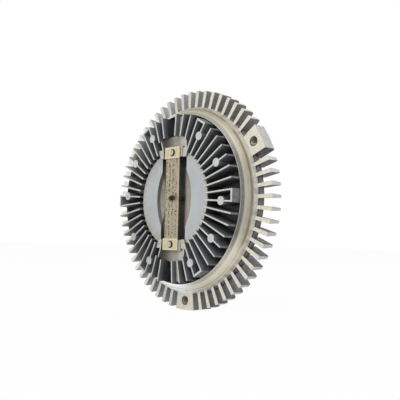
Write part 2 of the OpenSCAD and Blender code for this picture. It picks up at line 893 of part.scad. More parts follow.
module rotor_disc() {
    color(CAST) along_axis()
        difference() {
            union() {
                bar(rotor_r, rotor_web_z, rotor_front_z);
                ring(rotor_r, rotor_r - rotor_rim_w, rotor_land_z, rotor_web_z + sink);
                for (r = rotor_land_radii)
                    ring(r + land_w / 2, r - land_w / 2, rotor_land_z, rotor_web_z + sink);
                bar(rotor_hub_r, bearing_front_z, rotor_hub_front_z);
            }
            bar(rotor_seat_r + seat_clear, bearing_front_z - cut, rotor_front_z + cut);
            bar(rotor_hub_r, rotor_hub_front_z, rotor_front_z + cut);
            for (k = [0 : rotor_port_count - 1])
                rotate(k * 360 / rotor_port_count)
                    translate([rotor_port_r, 0, 0])
                        bar(rotor_port_d / 2, rotor_web_z - cut, rotor_front_z + cut);
        }
}

// Open retaining ring with its gap at the top
module snap_ring(outer_r, inner_r, z0) {
    difference() {
        ring(outer_r, inner_r, z0, z0 + snap_ring_t);
        translate([-snap_gap_w / 2, 0, z0 - cut])
            cube([snap_gap_w, outer_r + cut, snap_ring_t + 2 * cut]);
    }
}

module rotor_retaining_ring() {
    color(DARK_STEEL) along_axis()
        snap_ring(rotor_seat_r + snap_reach, rotor_seat_r - snap_depth + seat_clear, shaft_ring_z);
}

module drive_shaft() {
    color(STEEL) along_axis()
        difference() {
            union() {
                intersection() {
                    bar(flange_d / 2, 0, flange_t);
                    slab(flange_flats, flange_d, 0, flange_t);
                }
                bar(inner_race_r - seat_clear, flange_t - sink, bearing_z);
                bar(shaft_r - seat_clear, bearing_z - sink, bearing_front_z);
                bar(rotor_seat_r, bearing_front_z - sink, shaft_end_z);
            }
            ring(rotor_seat_r + cut, rotor_seat_r - snap_depth, shaft_ring_z,
                 shaft_ring_z + snap_ring_t);
            mirror([0, 0, 1]) threaded_hole(drive_hole_d, -drive_hole_l, 0);
        }
}

// Space that the running balls take out of the races
module ball_track() {
    translate([0, 0, ball_z]) torus(pitch_r, 2 * race_groove_r);
}

module bearing_outer_race() {
    color(STEEL) along_axis()
        difference() {
            ring(bearing_r - seat_clear, outer_race_r, bearing_z, bearing_front_z);
            ball_track();
        }
}

module bearing_inner_race() {
    color(STEEL) along_axis()
        difference() {
            ring(inner_race_r, shaft_r, bearing_z, bearing_front_z);
            ball_track();
        }
}

// Places its children at every ball
module each_ball() {
    for (k = [0 : ball_count - 1])
        rotate(k * 360 / ball_count) translate([pitch_r, 0, ball_z]) children();
}

module bearing_balls() {
    color(STEEL) along_axis() each_ball() sphere(r = ball_r);
}

module bearing_cage() {
    color(DARK_STEEL) along_axis()
        difference() {
            ring(pitch_r + cage_half_w, pitch_r - cage_half_w, ball_z - cage_l, ball_z + cage_margin);
            each_ball() sphere(r = cage_pocket_r);
        }
}

// Thin shield between the races, starting at level z0
module shield(z0) {
    color(DARK_STEEL) along_axis()
        ring(outer_race_r - seat_clear, inner_race_r + shield_clear, z0, z0 + shield_t);
}

module bearing_front_shield() {
    shield(bearing_front_z - shield_inset - shield_t);
}

module bearing_rear_shield() {
    shield(bearing_z + shield_inset);
}

module bearing_retaining_ring() {
    color(DARK_STEEL) along_axis()
        snap_ring(bearing_r + snap_depth - seat_clear, bearing_r - snap_reach, ring_z);
}

body_housing();
front_cover();
cover_seal_ring();
bimetal_strip();
upper_strip_clip();
lower_strip_clip();
control_pin();
control_pin_seal();
valve_arm();
valve_arm_rivet();
divider_plate();
divider_rivets();
pump_wiper();
rotor_disc();
rotor_retaining_ring();
drive_shaft();
bearing_outer_race();
bearing_inner_race();
bearing_balls();
bearing_cage();
bearing_front_shield();
bearing_rear_shield();
bearing_retaining_ring();
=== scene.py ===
"""Looks of the viscous fan clutch: finishes, clip lugs, screw threads, bimetal strip, stage and lights.

Lengths are metres in the part's own frame: the axis lies along Y, the finned cover faces -Y and +Z is up.
"""

import json
import math

import bmesh
import bpy
from mathutils import Matrix, Vector


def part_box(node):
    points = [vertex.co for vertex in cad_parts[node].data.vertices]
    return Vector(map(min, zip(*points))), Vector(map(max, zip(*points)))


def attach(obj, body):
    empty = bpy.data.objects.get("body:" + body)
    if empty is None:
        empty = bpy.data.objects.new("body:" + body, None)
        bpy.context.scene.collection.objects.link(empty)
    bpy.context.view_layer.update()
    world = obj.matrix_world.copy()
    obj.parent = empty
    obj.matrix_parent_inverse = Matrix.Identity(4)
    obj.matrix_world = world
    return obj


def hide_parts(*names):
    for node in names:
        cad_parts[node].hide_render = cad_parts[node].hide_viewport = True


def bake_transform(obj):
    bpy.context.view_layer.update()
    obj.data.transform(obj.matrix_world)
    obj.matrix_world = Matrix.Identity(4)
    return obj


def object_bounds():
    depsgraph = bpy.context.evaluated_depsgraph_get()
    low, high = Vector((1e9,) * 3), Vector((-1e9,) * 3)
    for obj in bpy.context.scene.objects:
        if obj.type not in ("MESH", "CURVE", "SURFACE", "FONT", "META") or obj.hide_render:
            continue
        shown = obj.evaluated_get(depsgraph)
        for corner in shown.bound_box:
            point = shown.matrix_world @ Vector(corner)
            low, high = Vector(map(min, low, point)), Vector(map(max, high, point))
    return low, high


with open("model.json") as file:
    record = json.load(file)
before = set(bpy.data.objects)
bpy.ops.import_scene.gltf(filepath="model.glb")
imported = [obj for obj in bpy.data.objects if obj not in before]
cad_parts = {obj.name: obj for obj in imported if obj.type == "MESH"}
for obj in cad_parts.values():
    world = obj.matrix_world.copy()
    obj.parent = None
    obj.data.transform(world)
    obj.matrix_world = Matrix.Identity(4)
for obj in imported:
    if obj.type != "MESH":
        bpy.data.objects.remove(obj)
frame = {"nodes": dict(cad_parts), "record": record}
cad_low, cad_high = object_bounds()
nodes = frame["nodes"]
mounts = {m["name"]: m for m in frame["record"]["mounts"]}
MM = 0.001

# Levels in front of the drive face
front_depth = -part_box("front_cover")[0].y
strip_low, strip_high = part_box("bimetal_strip")
strip_back = -strip_high.y
strip_depth = -strip_low.y
saddle_height = 1.3 * MM
disc_depth = strip_back - saddle_height
seat_depth = -mounts["fan_bosses"]["pos_m"][1]

# Radii from the axis
tip_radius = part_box("body_housing")[1].x
drum_radius = 84.0 * MM
ledge_radius = drum_radius + 2.2 * MM
lip_foot = drum_radius + 1.1 * MM
lip_inner = drum_radius - 7.5 * MM
lip_crest = lip_inner + 2.4 * MM
fin_outer = lip_inner - 0.8 * MM
disc_radius = 43.5 * MM

# Places and half widths about the strip
clip_low, clip_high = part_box("upper_strip_clip")
peg_height = (clip_low.z + clip_high.z) / 2
slot_end = peg_height - 4.0 * MM
slot_half_width = 16.3 * MM
dish_half_width = 23.0 * MM
saddle_half_width = clip_high.x + 1.8 * MM

# Radii of holes
boss_hole = mounts["fan_bosses"]["dims"]["hole_r_mm"] * MM
drive_hole = mounts["drive_thread"]["dims"]["r_mm"] * MM
peg_hole = 3.3 * MM
pin_hole = 2.0 * MM

# Places of fins round the rim, and the angle of the first boss in degrees
RIM_FINS = 60
FIRST_BOSS_ANGLE = 30

# Metal share of the dull cast skin
CAST_METAL = 0.15

# Share of the surface normal from which a face counts as a front, and its softness
FRONT_SHARE = 0.93
FRONT_SOFT = 0.03

# Sockets of the mix node for colours, which have the same names as those for other values
MIX_MASK = 0
MIX_FIRST = 6
MIX_SECOND = 7
MIX_COLOUR = 2

WHITE = (1, 1, 1, 1)


def srgb(red, green, blue):
    """Linear colour of an 8-bit display colour."""
    def linear(value):
        share = value / 255
        return share / 12.92 if share <= 0.04045 else ((share + 0.055) / 1.055) ** 2.4
    return (linear(red), linear(green), linear(blue), 1.0)


# Colours that two finishes share
# Brown line of painted shade along the edges of the dish and slot.
EDGE_SHADE_BROWN = srgb(56, 51, 42)
# Pale bore paint as a painted highlight on the left.
GLARE_PALE_BORE = srgb(176, 168, 150)


class Finish:
    """A material under construction, with short calls for the nodes that the finishes share."""

    def __init__(self, name, roughness=0.45, metallic=0.5):
        self.material = bpy.data.materials.new(name)
        self.material.use_nodes = True
        self.tree = self.material.node_tree
        self.tree.nodes.clear()
        self.shader = self.add("ShaderNodeBsdfPrincipled")
        self.shader.inputs["Metallic"].default_value = metallic
        self.shader.inputs["Roughness"].default_value = roughness
        output = self.add("ShaderNodeOutputMaterial")
        self.link(self.shader.outputs["BSDF"], output.inputs["Surface"])
        coords = self.add("ShaderNodeTexCoord")
        self.place = coords.outputs["Object"]
        self.normal = coords.outputs["Normal"]
        self.x, self.y, self.z = self.split(self.place)
        self.depth = self.math("MULTIPLY", self.y, -1.0)

    def add(self, kind, **inputs):
        """New node with these inputs, each a value or another node's output."""
        node = self.tree.nodes.new(kind)
        for name, value in inputs.items():
            self.feed(node.inputs[name], value)
        return node

    def link(self, output, socket):
        self.tree.links.new(output, socket)

    def feed(self, socket, value):
        """Links an output to the socket, or sets a plain value there."""
        if isinstance(value, bpy.types.NodeSocket):
            self.link(value, socket)
        else:
            socket.default_value = value

    def split(self, vector):
        """The vector's three parts."""
        parts = self.add("ShaderNodeSeparateXYZ", Vector=vector)
        return parts.outputs["X"], parts.outputs["Y"], parts.outputs["Z"]

    def math(self, operation, first, second=0.0):
        node = self.add("ShaderNodeMath")
        node.operation = operation
        self.feed(node.inputs[0], first)
        self.feed(node.inputs[1], second)
        return node.outputs["Value"]

    def both(self, *masks):
        """Where all masks hold; a plain number among them weakens the result."""
        found = masks[0]
        for mask in masks[1:]:
            found = self.math("MULTIPLY", found, mask)
        return found

    def either(self, first, second):
        return self.math("MAXIMUM", first, second)

    def inverse(self, mask):
        return self.math("SUBTRACT", 1.0, mask)

    def above(self, value, edge, soft):
        """Mask that rises from 0 to 1 over a soft edge."""
        node = self.add("ShaderNodeMapRange", Value=value)
        node.interpolation_type = "SMOOTHSTEP"
        node.inputs["From Min"].default_value = edge - soft
        node.inputs["From Max"].default_value = edge + soft
        return node.outputs["Result"]

    def below(self, value, edge, soft):
        return self.inverse(self.above(value, edge, soft))

    def within(self, value, low, high, soft):
        return self.both(self.above(value, low, soft), self.below(value, high, soft))

    def mix(self, mask, first, second):
        """The first colour, and the second one where the mask holds."""
        node = self.add("ShaderNodeMix")
        node.data_type = "RGBA"
        self.feed(node.inputs[MIX_MASK], mask)
        self.feed(node.inputs[MIX_FIRST], first)
        self.feed(node.inputs[MIX_SECOND], second)
        return node.outputs[MIX_COLOUR]

    def stretched(self, stretch):
        """The place with each axis multiplied, so that patterns run along an axis."""
        node = self.add("ShaderNodeVectorMath")
        node.operation = "MULTIPLY"
        self.link(self.place, node.inputs[0])
        node.inputs[1].default_value = stretch
        return node.outputs["Vector"]

    def noise(self, size, detail=3.0, stretch=(1, 1, 1)):
        """Cloudy value from 0 to 1 whose features are about that size."""
        node = self.add("ShaderNodeTexNoise", Vector=self.stretched(stretch))
        node.inputs["Scale"].default_value = 1 / size
        node.inputs["Detail"].default_value = detail
        return node.outputs["Fac"]

    def spots(self, size, edge, soft, stretch=(1, 1, 1)):
        """Mask of ragged spots; a higher edge leaves fewer of them."""
        return self.above(self.noise(size, 4.0, stretch), edge, soft)

    def mottle(self, first, second, size, stretch=(1, 1, 1)):
        """Two colours in soft blotches of equal share."""
        return self.mix(self.spots(size, 0.5, 0.22, stretch), first, second)

    def radius(self):
        """Distance from the axis."""
        squares = self.math("ADD", self.math("POWER", self.x, 2.0), self.math("POWER", self.z, 2.0))
        return self.math("SQRT", squares)

    def across(self):
        """Distance to either side of the strip's middle line."""
        return self.math("ABSOLUTE", self.x)

    def along(self):
        """Distance up or down from the middle of the strip."""
        return self.math("ABSOLUTE", self.z)

    def facing(self):
        """Shares of the surface normal towards the front and away from the axis."""
        nx, ny, nz = self.split(self.normal)
        toward = self.math("ADD", self.math("MULTIPLY", nx, self.x), self.math("MULTIPLY", nz, self.z))
        outward = self.math("DIVIDE", toward, self.math("MAXIMUM", self.radius(), MM))
        return self.math("MULTIPLY", ny, -1.0), outward

    def dots(self, spacing, share, soft):
        """Mask of scattered round dots; the share is their reach in parts of the spacing."""
        node = self.add("ShaderNodeTexVoronoi", Vector=self.place)
        node.inputs["Scale"].default_value = 1 / spacing
        return self.below(node.outputs["Distance"], share, soft)

    def near(self, x, z, reach, soft, squeeze=1.0):
        """Mask of a round spot about a point of the front view; a squeeze below 1 makes it wider."""
        across = self.math("MULTIPLY", self.math("SUBTRACT", self.x, x), squeeze)
        dx = self.math("POWER", across, 2.0)
        dz = self.math("POWER", self.math("SUBTRACT", self.z, z), 2.0)
        return self.below(self.math("SQRT", self.math("ADD", dx, dz)), reach, soft)

    def bump(self, height, depth, strength=1.0):
        """Fine relief of that depth, from a height of 0 to 1."""
        node = self.add("ShaderNodeBump", Height=height)
        node.inputs["Distance"].default_value = depth
        node.inputs["Strength"].default_value = strength
        self.link(node.outputs["Normal"], self.shader.inputs["Normal"])

    def rough(self, low, high, size, stretch=(1, 1, 1)):
        """Uneven roughness between two values, spread over the noise's usual range."""
        usual_low = 0.3
        usual_high = 0.7
        node = self.add("ShaderNodeMapRange", Value=self.noise(size, 3.0, stretch))
        node.inputs["From Min"].default_value = usual_low
        node.inputs["From Max"].default_value = usual_high
        node.inputs["To Min"].default_value = low
        node.inputs["To Max"].default_value = high
        self.link(node.outputs["Result"], self.shader.inputs["Roughness"])

    def metal(self, base, full_metal_mask):
        """Metal share of the surface: the base value, and full metal where the mask holds."""
        share = self.math("ADD", self.math("MULTIPLY", full_metal_mask, 1.0 - base), base)
        self.link(share, self.shader.inputs["Metallic"])

    def done(self, colour):
        """The finished material in this colour."""
        self.feed(self.shader.inputs["Base Color"], colour)
        return self.material


def cast_body():
    """Cast drum and rim: turned cream fronts, grey tips, fin sides in painted shade and light, a stained lip
    with painted shade and glints, and painted highlights on the left.
    """
    f = Finish("cast_body_finish")
    radius = f.radius()
    front, outward = f.facing()
    is_front = f.above(front, FRONT_SHARE, FRONT_SOFT)
    is_outer = f.above(outward, 0.80, 0.08)
    not_rear = f.above(front, -0.7, 0.1)
    # Mask of the left side, where a painted highlight pales fronts, bores and threads.
    glare_left = f.below(f.x, -44 * MM, 18 * MM)
    on_rim = f.above(radius, drum_radius + 0.1 * MM, 0.1 * MM)

    colour = f.mottle(srgb(158, 157, 150), srgb(138, 138, 134), 7 * MM)
    colour = f.mix(f.both(f.spots(1.6 * MM, 0.60, 0.08), 0.35), colour, srgb(112, 112, 110))

    # Painted shade and light on the rim fins' sides.
    flank = f.both(on_rim, not_rear, f.inverse(is_front), f.inverse(is_outer))
    colour = f.mix(flank, colour, rim_flank_shading(f))

    tip = f.both(is_outer, f.above(radius, tip_radius - 2.0 * MM, 0.5 * MM))
    tip_grey = f.mottle(srgb(204, 204, 199), srgb(184, 184, 180), 4 * MM, (1, 0.4, 1))
    colour = f.mix(tip, colour, tip_grey)

    ledge = f.within(radius, drum_radius - 0.5 * MM, ledge_radius + 0.4 * MM, 0.2 * MM)
    ledge_grey = f.mottle(srgb(112, 113, 113), srgb(134, 134, 131), 3 * MM)
    colour = f.mix(f.both(ledge, f.either(is_front, is_outer)), colour, ledge_grey)

    colour = lip_paint(f, colour, radius)
    turned = f.within(f.depth, seat_depth - 0.3 * MM, seat_depth + 0.3 * MM, 0.1 * MM)
    colour = f.mix(f.both(turned, is_front, on_rim), colour, turned_cream_lit_and_shaded(f, glare_left))

    inside = f.both(f.above(radius, ledge_radius + 0.8 * MM, 0.1 * MM), f.inverse(is_front), not_rear)
    colour = boss_paint(f, colour, is_outer, inside, glare_left)
    cast_grain(f, 0.12 * MM, 0.6)
    return f.done(colour)


def cast_grain(f, depth, strength):
    """Sandy relief and sheen of a casting."""
    grain = f.math("ADD", f.noise(0.5 * MM, 2.0), f.math("MULTIPLY", f.noise(2.5 * MM, 3.0), 1.5))
    f.bump(grain, depth, strength)
    f.rough(0.36, 0.56, 3 * MM)


def rim_flank_shading(f):
    """Sides of the rim fins in painted light and shade: painted shade on the right, painted light at the top
    and to the left, and a painted highlight along the front edge.
    """
    tone = f.mottle(srgb(40, 43, 49), srgb(56, 58, 64), 5 * MM)
    # Painted light at the top and to the left, paler still as painted glare on the far left.
    tone = f.mix(f.above(f.z, 58 * MM, 8 * MM), tone, srgb(126, 126, 124))
    tone = f.mix(f.below(f.x, 18 * MM, 30 * MM), tone, srgb(150, 151, 150))
    glare_far_left = f.below(f.x, -64 * MM, 14 * MM)
    tone = f.mix(f.both(glare_far_left, 0.8), tone, srgb(206, 206, 202))
    # Painted highlight along the front edge of the sides.
    edge = f.above(f.depth, seat_depth - 0.4 * MM, 0.2 * MM)
    return f.mix(f.both(edge, 0.6), tone, srgb(190, 187, 176))


def turned_cream_lit_and_shaded(f, glare_left):
    """Turned fronts of the rim fins and bosses: cream, with painted shade greying them in the middle and a
    painted highlight paling them on the left.
    """
    cream = f.mottle(srgb(229, 224, 208), srgb(215, 210, 194), 3 * MM)
    # Painted shade greys the fronts in the middle; painted highlight pales them on the left.
    cream = f.mix(f.both(f.below(f.x, 0.0, 24 * MM), 0.8), cream, srgb(198, 197, 188))
    return f.mix(glare_left, cream, srgb(232, 230, 221))


def boss_paint(f, colour, is_outer, inside, glare_left):
    """Outer sides of the bosses painted darker grey as shade, and brown bores with a painted highlight paling
    them on the left.
    """
    outer_share = 1.08
    # Brown bores, paled on the left as a painted highlight.
    brown = f.mix(glare_left, srgb(116, 108, 92), GLARE_PALE_BORE)
    for boss in boss_centres():
        side = f.near(boss.x * outer_share, boss.z * outer_share, 14 * MM, 1 * MM)
        # Painted shade: darker grey on the bosses' outer sides.
        colour = f.mix(f.both(is_outer, side, 0.8), colour, srgb(154, 154, 151))
        bore = f.near(boss.x, boss.z, boss_hole + 0.4 * MM, 0.1 * MM)
        colour = f.mix(f.both(inside, bore), colour, brown)
    return colour


def boss_centres():
    """Centres of the boss holes in the bolt pattern, counted from the first one."""
    pattern = mounts["fan_bosses"]["dims"]
    radius = pattern["pcd_mm"] / 2 * MM
    count = pattern["count"]
    angles = [math.radians(FIRST_BOSS_ANGLE + 360 / count * k) for k in range(count)]
    return [Vector((radius * math.cos(a), -seat_depth, radius * math.sin(a))) for a in angles]


def lip_paint(f, colour, radius):
    """The lip in front of the rim fins, with its stained bands and painted glints where it is made white and
    fully metal.
    """
    on_lip = f.both(f.above(f.depth, seat_depth - 0.6 * MM, 0.05 * MM),
                    f.below(radius, lip_foot + 0.1 * MM, 0.05 * MM))
    glint_mask = lip_glint(f, radius)
    # Painted glints: white and fully metal at the bottom and upper left.
    f.metal(CAST_METAL, f.both(on_lip, glint_mask))
    return f.mix(on_lip, colour, f.mix(glint_mask, lip_tone(f, radius), srgb(254, 255, 255)))


def lip_tone(f, radius):
    """Bands of the lip from its inner edge outwards: a grey inner band of painted shade that is painted
    lighter at the top, a painted highlight on the inner edge, painted shade at both sides and the top, and a
    painted highlight at the bottom.
    """
    tone = f.mix(f.spots(5 * MM, 0.5, 0.2), srgb(208, 200, 178), srgb(190, 182, 160))
    crest = f.within(radius, lip_crest, lip_crest + 1.3 * MM, 0.35 * MM)
    tone = f.mix(f.both(crest, 0.8), tone, srgb(218, 211, 192))
    # Painted shade: the grey inner band, painted lighter at the top.
    grey = f.mix(f.spots(4 * MM, 0.5, 0.2), srgb(124, 121, 115), srgb(99, 97, 92))
    grey = f.mix(f.both(f.above(f.z, 42 * MM, 16 * MM), 0.75), grey, srgb(188, 186, 176))
    tone = f.mix(f.below(radius, lip_crest - 0.1 * MM, 0.3 * MM), tone, grey)
    # Painted highlight along the inner edge.
    tone = f.mix(f.below(radius, lip_inner + 0.3 * MM, 0.15 * MM), tone, srgb(206, 203, 192))
    stain = f.within(radius, lip_crest + 2.8 * MM, lip_crest + 4.0 * MM, 0.35 * MM)
    stain = f.both(stain, f.spots(16 * MM, 0.40, 0.16))
    tone = f.mix(f.both(stain, 0.9), tone, srgb(128, 111, 88))
    # Painted shade at both sides and at the top, painted highlight at the bottom.
    side = f.below(f.along(), 36 * MM, 18 * MM)
    tone = f.mix(f.both(side, 0.46), tone, srgb(92, 88, 80))
    top = f.above(f.z, 60 * MM, 12 * MM)
    tone = f.mix(f.both(top, 0.4), tone, srgb(140, 135, 122))
    bottom = f.below(f.z, -42 * MM, 12 * MM)
    tone = f.mix(f.both(bottom, 0.5), tone, srgb(240, 234, 216))
    return f.mix(f.above(radius, lip_foot - 2.0 * MM, 0.3 * MM), tone, lip_foot_tone(f))


def lip_foot_tone(f):
    """Foot of the lip: whitish grey, and cream where the rim fins and bosses run into it."""
    inner_share = 0.92
    tone = f.mix(f.spots(6 * MM, 0.5, 0.12), srgb(158, 155, 148), srgb(190, 187, 180))
    wave = f.math("COSINE", f.math("MULTIPLY", f.math("ARCTAN2", f.z, f.x), RIM_FINS))
    root = f.above(wave, 0.45, 0.35)
    for boss in boss_centres():
        root = f.either(root, f.near(boss.x * inner_share, boss.z * inner_share, 9.5 * MM, 0.8 * MM))
    return f.mix(f.both(root, 0.85), tone, srgb(194, 189, 174))


def lip_glint(f, radius):
    """Mask of the lip's painted glints, at the bottom and at the upper left."""
    bottom = f.both(f.below(f.z, -58 * MM, 8 * MM), f.below(f.x, 14 * MM, 16 * MM))
    upper_left = f.both(f.above(f.z, 54 * MM, 8 * MM), f.below(f.x, -12 * MM, 12 * MM))
    streak = f.within(radius, lip_crest + 0.7 * MM, lip_crest + 1.5 * MM, 0.3 * MM)
    return f.both(f.either(bottom, upper_left), f.inverse(f.both(streak, 0.35)))


def cast_cover():
    """Cast cover: pale fin fronts and pads, channels painted blue-black as shade, a cloudy disc and a beige
    recess with painted light and shade.
    """
    f = Finish("cast_cover_finish", metallic=CAST_METAL)
    radius = f.radius()
    front, outward = f.facing()
    is_front = f.above(front, FRONT_SHARE, FRONT_SOFT)

    # Painted highlight along the front edge of the fin sides.
    edge = f.above(f.depth, front_depth - 0.3 * MM, 0.15 * MM)
    colour = f.mix(f.both(edge, 0.7), channel_shading(f, radius, outward), srgb(184, 185, 184))
    crown = f.both(is_front, f.above(f.depth, front_depth - 0.7 * MM, 0.2 * MM))
    pale = f.mottle(srgb(208, 209, 206), srgb(190, 192, 191), 3 * MM)
    # Painted shade on the crowns at the lower left.
    shaded_low_left = f.both(f.below(f.x, -20 * MM, 15 * MM), f.below(f.z, -5 * MM, 20 * MM))
    pale = f.mix(f.both(shaded_low_left, 0.6), pale, srgb(164, 166, 167))
    colour = f.mix(crown, colour, pale)

    on_disc = f.both(is_front, f.within(f.depth, disc_depth - 0.3 * MM, disc_depth + 0.3 * MM, 0.1 * MM))
    colour = f.mix(on_disc, colour, disc_tone(f, radius))
    colour = f.mix(recess_mask(f, radius, front), colour, recess_tone(f, front))
    colour = slot_side_paint(f, colour)
    colour = f.mix(shelf_mask(f, radius, is_front), colour, shelf_tone(f))
    colour = peg_paint(f, colour, is_front)
    cast_grain(f, 0.10 * MM, 0.5)
    return f.done(colour)


def channel_shading(f, radius, outward):
    """Sides of the cover fins and the floor between them: dark with painted shade, darker lower down and near
    the disc, painted light towards the fronts, on the right and at the left ends, with grey specks and brown
    dirt.
    """
    # Painted shade: dark channels, painted lighter on the right.
    tone = f.mottle(srgb(48, 51, 56), srgb(70, 73, 78), 6 * MM)
    tone = f.mix(f.above(f.x, 32 * MM, 10 * MM), tone, f.mottle(srgb(70, 73, 78), srgb(96, 98, 103), 6 * MM))
    tone = f.mix(f.both(f.spots(2 * MM, 0.62, 0.08), 0.4), tone, srgb(96, 96, 96))
    # Painted highlight on the left ends.
    lit_left_end = f.both(f.below(f.x, -32 * MM, 12 * MM), f.above(radius, 61 * MM, 7 * MM))
    tone = f.mix(f.both(lit_left_end, 0.8), tone, srgb(146, 146, 142))
    dirt = f.both(f.below(radius, 60 * MM, 8 * MM), f.above(f.x, 36 * MM, 6 * MM))
    dirt = f.both(dirt, f.below(f.along(), 16 * MM, 8 * MM), f.spots(4 * MM, 0.42, 0.12))
    tone = f.mix(f.both(dirt, 0.7), tone, srgb(108, 96, 78))
    # Painted shade lower down and near the disc, painted light towards the fronts.
    deep_shade = f.below(f.depth, disc_depth - 7 * MM, 4 * MM)
    tone = f.mix(f.both(deep_shade, 0.4), tone, srgb(42, 44, 48))
    bright = f.above(f.depth, front_depth - 3.5 * MM, 3.5 * MM)
    tone = f.mix(f.both(bright, 0.55), tone, srgb(140, 142, 144))
    shade_near_disc = f.below(radius, disc_radius + 5.5 * MM, 4 * MM)
    tone = f.mix(f.both(shade_near_disc, 0.4), tone, srgb(40, 40, 40))
    fin_end = f.both(f.above(outward, 0.9, 0.06), f.above(radius, fin_outer - 1.1 * MM, 0.2 * MM))
    return f.mix(fin_end, tone, f.mottle(srgb(128, 128, 125), srgb(107, 108, 107), 3 * MM))


def disc_tone(f, radius):
    """Cloudy grey, beige towards the disc's edge and past the slot's ends, soiled on the left."""
    tone = f.mottle(srgb(184, 188, 190), srgb(175, 179, 182), 12 * MM, (1, 1, 0.45))
    edge = f.above(radius, disc_radius - 3.1 * MM, 3.4 * MM)
    tone = f.mix(f.both(edge, 0.75), tone, srgb(190, 186, 172))
    soiled = f.both(f.above(f.along(), 22 * MM, 10 * MM), f.below(f.x, -6 * MM, 6 * MM))
    soiled = f.both(soiled, f.above(radius, disc_radius - 7.5 * MM, 5 * MM), f.spots(5 * MM, 0.44, 0.12))
    tone = f.mix(f.both(soiled, 0.7), tone, srgb(170, 164, 148))
    past_slot = f.both(f.above(f.along(), slot_end + 0.6 * MM, 0.8 * MM),
                       f.below(f.across(), slot_half_width + 1.2 * MM, 1.5 * MM))
    tone = f.mix(f.both(past_slot, 0.9), tone, srgb(172, 168, 154))
    return f.mix(f.above(radius, disc_radius, 0.2 * MM), tone, srgb(184, 179, 162))


def recess_mask(f, radius, front):
    """Dish and slot under the strip, without the slot's upright sides."""
    below_disc = f.below(f.depth, disc_depth - 0.25 * MM, 0.15 * MM)
    across = f.below(f.across(), dish_half_width + 0.1 * MM, 0.2 * MM)
    within_disc = f.below(radius, disc_radius - 0.5 * MM, 0.5 * MM)
    return f.both(below_disc, across, within_disc, f.above(front, 0.05, 0.05))


def recess_tone(f, front):
    """Beige dish, with painted light on its right part, a dark brown line of painted shade along its left
    edge, and painted shade under the strip and at the slot's ends.
    """
    tone = f.mottle(srgb(142, 136, 120), srgb(124, 118, 103), 5 * MM)
    # Painted light on the dish's right part.
    lit = f.above(f.x, 8 * MM, 3 * MM)
    tone = f.mix(f.both(lit, 0.9), tone, f.mottle(srgb(204, 198, 180), srgb(186, 180, 162), 5 * MM))
    # Painted shade: dark brown line along the dish's left edge.
    brown = f.within(f.depth, disc_depth - 2.0 * MM, disc_depth - 0.1 * MM, 0.4 * MM)
    brown = f.both(brown, f.below(front, 0.9, 0.08), f.below(f.x, 0.0, 5 * MM))
    tone = f.mix(f.both(brown, 0.95), tone, EDGE_SHADE_BROWN)
    # Painted shade under the strip and at the slot's ends.
    low = f.below(f.depth, disc_depth - 4 * MM, 1.5 * MM)
    shaded = f.both(f.within(f.x, -15 * MM, 6.5 * MM, 1.5 * MM), low)
    at_end = f.above(f.along(), slot_end - 10 * MM, 3 * MM)
    ends = f.both(at_end, f.below(f.depth, disc_depth - 7 * MM, 0.5 * MM))
    return f.mix(f.both(f.either(shaded, ends), 0.92), tone, srgb(32, 36, 46))


def slot_side_paint(f, colour):
    """Upright left side of the slot: beige, with a brown line of painted shade under the disc's edge and
    painted shade at its ends.
    """
    toward_right = f.above(f.split(f.normal)[0], 0.9, 0.05)
    at_side = f.within(f.x, -slot_half_width - 0.7 * MM, -slot_half_width + 0.7 * MM, 0.1 * MM)
    side = f.both(toward_right, at_side, f.below(f.along(), slot_end + 0.4 * MM, 0.2 * MM))
    tone = f.mottle(srgb(140, 133, 116), srgb(120, 114, 98), 4 * MM)
    # Painted shade: brown under the disc's edge, dark at the ends.
    top = f.above(f.depth, disc_depth - 2.0 * MM, 0.8 * MM)
    tone = f.mix(f.both(top, 0.9), tone, EDGE_SHADE_BROWN)
    at_end = f.above(f.along(), slot_end - 7 * MM, 5 * MM)
    tone = f.mix(f.both(at_end, 0.8), tone, srgb(42, 40, 38))
    return f.mix(side, colour, tone)


def shelf_mask(f, radius, is_front):
    """Flat shelves past the strip's ends, the low floor beside them and the saddles."""
    level = f.within(f.depth, disc_depth - 1.7 * MM, disc_depth - 0.5 * MM, 0.1 * MM)
    shelf = f.both(is_front, level, f.above(radius, disc_radius - 0.5 * MM, 0.4 * MM))
    across = f.below(f.across(), saddle_half_width + 0.5 * MM, 0.1 * MM)
    along = f.within(f.along(), peg_height - 6 * MM, peg_height + 7 * MM, 0.3 * MM)
    saddle = f.both(across, along, f.within(f.depth, disc_depth + 0.1 * MM, strip_back + 0.1 * MM, 0.05 * MM))
    return f.either(shelf, saddle)


def shelf_tone(f):
    """Beige grey, shaded on the left."""
    tone = f.mottle(srgb(164, 159, 146), srgb(144, 139, 126), 4 * MM)
    tone = f.mix(f.above(f.x, 7 * MM, 3 * MM), tone, srgb(190, 189, 182))
    shade = f.below(f.x, -5 * MM, 7 * MM)
    return f.mix(f.both(shade, 0.85), tone, srgb(56, 54, 50))


def peg_paint(f, colour, is_front):
    """Bright peg ends, with painted shade on their sides and in a ring round their foot."""
    silver = f.mottle(srgb(198, 198, 195), srgb(174, 174, 171), 1.5 * MM)
    for side in (-1, 1):
        spot = f.near(0.0, side * peg_height, peg_hole + 0.1 * MM, 0.05 * MM)
        # Painted shade on the pegs' sides and round their foot.
        over_saddle = f.above(f.depth, strip_back - 0.1 * MM, 0.05 * MM)
        colour = f.mix(f.both(spot, over_saddle), colour, srgb(46, 38, 26))
        end = f.both(spot, is_front, f.above(f.depth, strip_depth, 0.1 * MM))
        colour = f.mix(end, colour, silver)
    return colour


